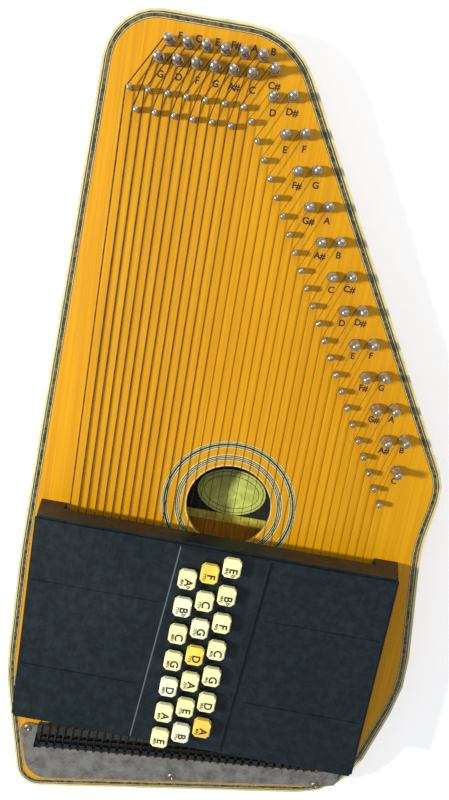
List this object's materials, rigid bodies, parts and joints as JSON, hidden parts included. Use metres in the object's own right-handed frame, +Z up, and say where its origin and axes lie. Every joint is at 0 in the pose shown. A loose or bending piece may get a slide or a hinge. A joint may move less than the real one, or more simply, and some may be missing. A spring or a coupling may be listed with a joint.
{
  "type": "zither",
  "caption": "A wooden zither whose strings run under a row of sprung chord bars with buttons, with an amber spruce top, black bar cover and round sound hole",
  "frame": {"origin": "on the table, under the middle of the whole instrument's box", "axes": "+Y along the strings to the tuning pins, +X across them to the short treble strings, +Z up out of the soundboard"},
  "size_m": [0.3118, 0.6042, 0.0822],
  "materials": {
    "amber_maple": "lacquered amber maple",
    "foot_rubber": "black rubber",
    "maple_blocks": "bare laminated maple",
    "bare_spruce": "bare spruce",
    "amber_spruce": "lacquered amber spruce, with nickel-plated steel pins",
    "cream_binding": "polished cream",
    "black_plastic": "satin black",
    "string_steel": "drawn steel wire, wound in the bass",
    "tail_felt": "woven felt strip",
    "satin_plate": "satin",
    "brown_plastic": "satin dark brown",
    "bar_wood": "sanded, with felt dampers",
    "ivory_plastic": "moulded cream"
  },
  "bodies": {
    "zither": {"back_panel": "amber_maple", "foot_tail_bass": "foot_rubber", "foot_tail_treble": "foot_rubber", "foot_pin_end": "foot_rubber", "pin_block": "maple_blocks", "tail_block": "maple_blocks", "bass_rail": "amber_maple", "treble_rail": "amber_maple", "upper_brace": "bare_spruce", "lower_brace": "bare_spruce", "soundboard": "amber_spruce", "edge_binding": "cream_binding", "bridge": "black_plastic", "strings": "string_steel", "tail_felt": "tail_felt", "anchor_plate": "satin_plate", "chord_bar_base": "brown_plastic", "chord_bar_cover": "black_plastic"},
    "chord_Eb": {"chord_bar_Eb": "bar_wood", "button_Eb": "ivory_plastic"},
    "chord_F7": {"chord_bar_F7": "bar_wood", "button_F7": "ivory_plastic"},
    "chord_Ab": {"chord_bar_Ab": "bar_wood", "button_Ab": "ivory_plastic"},
    "chord_Bb": {"chord_bar_Bb": "bar_wood", "button_Bb": "ivory_plastic"},
    "chord_C7": {"chord_bar_C7": "bar_wood", "button_C7": "ivory_plastic"},
    "chord_Bb7": {"chord_bar_Bb7": "bar_wood", "button_Bb7": "ivory_plastic"},
    "chord_F": {"chord_bar_F": "bar_wood", "button_F": "ivory_plastic"},
    "chord_G7": {"chord_bar_G7": "bar_wood", "button_G7": "ivory_plastic"},
    "chord_Cm": {"chord_bar_Cm": "bar_wood", "button_Cm": "ivory_plastic"},
    "chord_C": {"chord_bar_C": "bar_wood", "button_C": "ivory_plastic"},
    "chord_D7": {"chord_bar_D7": "bar_wood", "button_D7": "ivory_plastic"},
    "chord_Gm": {"chord_bar_Gm": "bar_wood", "button_Gm": "ivory_plastic"},
    "chord_G": {"chord_bar_G": "bar_wood", "button_G": "ivory_plastic"},
    "chord_A7": {"chord_bar_A7": "bar_wood", "button_A7": "ivory_plastic"},
    "chord_Dm": {"chord_bar_Dm": "bar_wood", "button_Dm": "ivory_plastic"},
    "chord_D": {"chord_bar_D": "bar_wood", "button_D": "ivory_plastic"},
    "chord_E7": {"chord_bar_E7": "bar_wood", "button_E7": "ivory_plastic"},
    "chord_Am": {"chord_bar_Am": "bar_wood", "button_Am": "ivory_plastic"},
    "chord_A": {"chord_bar_A": "bar_wood", "button_A": "ivory_plastic"},
    "chord_B7": {"chord_bar_B7": "bar_wood", "button_B7": "ivory_plastic"},
    "chord_Em": {"chord_bar_Em": "bar_wood", "button_Em": "ivory_plastic"}
  },
  "joints": [
    {"name": "press_Eb", "type": "slide", "parent": "zither", "child": "chord_Eb", "axis": [0, 0, -1], "range_m": [0, 0.003], "stiffness_N_per_m": 300, "springref_m": -0.004},
    {"name": "press_F7", "type": "slide", "parent": "zither", "child": "chord_F7", "axis": [0, 0, -1], "range_m": [0, 0.003], "stiffness_N_per_m": 300, "springref_m": -0.004},
    {"name": "press_Ab", "type": "slide", "parent": "zither", "child": "chord_Ab", "axis": [0, 0, -1], "range_m": [0, 0.003], "stiffness_N_per_m": 300, "springref_m": -0.004},
    {"name": "press_Bb", "type": "slide", "parent": "zither", "child": "chord_Bb", "axis": [0, 0, -1], "range_m": [0, 0.003], "stiffness_N_per_m": 300, "springref_m": -0.004},
    {"name": "press_C7", "type": "slide", "parent": "zither", "child": "chord_C7", "axis": [0, 0, -1], "range_m": [0, 0.003], "stiffness_N_per_m": 300, "springref_m": -0.004},
    {"name": "press_Bb7", "type": "slide", "parent": "zither", "child": "chord_Bb7", "axis": [0, 0, -1], "range_m": [0, 0.003], "stiffness_N_per_m": 300, "springref_m": -0.004},
    {"name": "press_F", "type": "slide", "parent": "zither", "child": "chord_F", "axis": [0, 0, -1], "range_m": [0, 0.003], "stiffness_N_per_m": 300, "springref_m": -0.004},
    {"name": "press_G7", "type": "slide", "parent": "zither", "child": "chord_G7", "axis": [0, 0, -1], "range_m": [0, 0.003], "stiffness_N_per_m": 300, "springref_m": -0.004},
    {"name": "press_Cm", "type": "slide", "parent": "zither", "child": "chord_Cm", "axis": [0, 0, -1], "range_m": [0, 0.003], "stiffness_N_per_m": 300, "springref_m": -0.004},
    {"name": "press_C", "type": "slide", "parent": "zither", "child": "chord_C", "axis": [0, 0, -1], "range_m": [0, 0.003], "stiffness_N_per_m": 300, "springref_m": -0.004},
    {"name": "press_D7", "type": "slide", "parent": "zither", "child": "chord_D7", "axis": [0, 0, -1], "range_m": [0, 0.003], "stiffness_N_per_m": 300, "springref_m": -0.004},
    {"name": "press_Gm", "type": "slide", "parent": "zither", "child": "chord_Gm", "axis": [0, 0, -1], "range_m": [0, 0.003], "stiffness_N_per_m": 300, "springref_m": -0.004},
    {"name": "press_G", "type": "slide", "parent": "zither", "child": "chord_G", "axis": [0, 0, -1], "range_m": [0, 0.003], "stiffness_N_per_m": 300, "springref_m": -0.004},
    {"name": "press_A7", "type": "slide", "parent": "zither", "child": "chord_A7", "axis": [0, 0, -1], "range_m": [0, 0.003], "stiffness_N_per_m": 300, "springref_m": -0.004},
    {"name": "press_Dm", "type": "slide", "parent": "zither", "child": "chord_Dm", "axis": [0, 0, -1], "range_m": [0, 0.003], "stiffness_N_per_m": 300, "springref_m": -0.004},
    {"name": "press_D", "type": "slide", "parent": "zither", "child": "chord_D", "axis": [0, 0, -1], "range_m": [0, 0.003], "stiffness_N_per_m": 300, "springref_m": -0.004},
    {"name": "press_E7", "type": "slide", "parent": "zither", "child": "chord_E7", "axis": [0, 0, -1], "range_m": [0, 0.003], "stiffness_N_per_m": 300, "springref_m": -0.004},
    {"name": "press_Am", "type": "slide", "parent": "zither", "child": "chord_Am", "axis": [0, 0, -1], "range_m": [0, 0.003], "stiffness_N_per_m": 300, "springref_m": -0.004},
    {"name": "press_A", "type": "slide", "parent": "zither", "child": "chord_A", "axis": [0, 0, -1], "range_m": [0, 0.003], "stiffness_N_per_m": 300, "springref_m": -0.004},
    {"name": "press_B7", "type": "slide", "parent": "zither", "child": "chord_B7", "axis": [0, 0, -1], "range_m": [0, 0.003], "stiffness_N_per_m": 300, "springref_m": -0.004},
    {"name": "press_Em", "type": "slide", "parent": "zither", "child": "chord_Em", "axis": [0, 0, -1], "range_m": [0, 0.003], "stiffness_N_per_m": 300, "springref_m": -0.004}
  ]
}
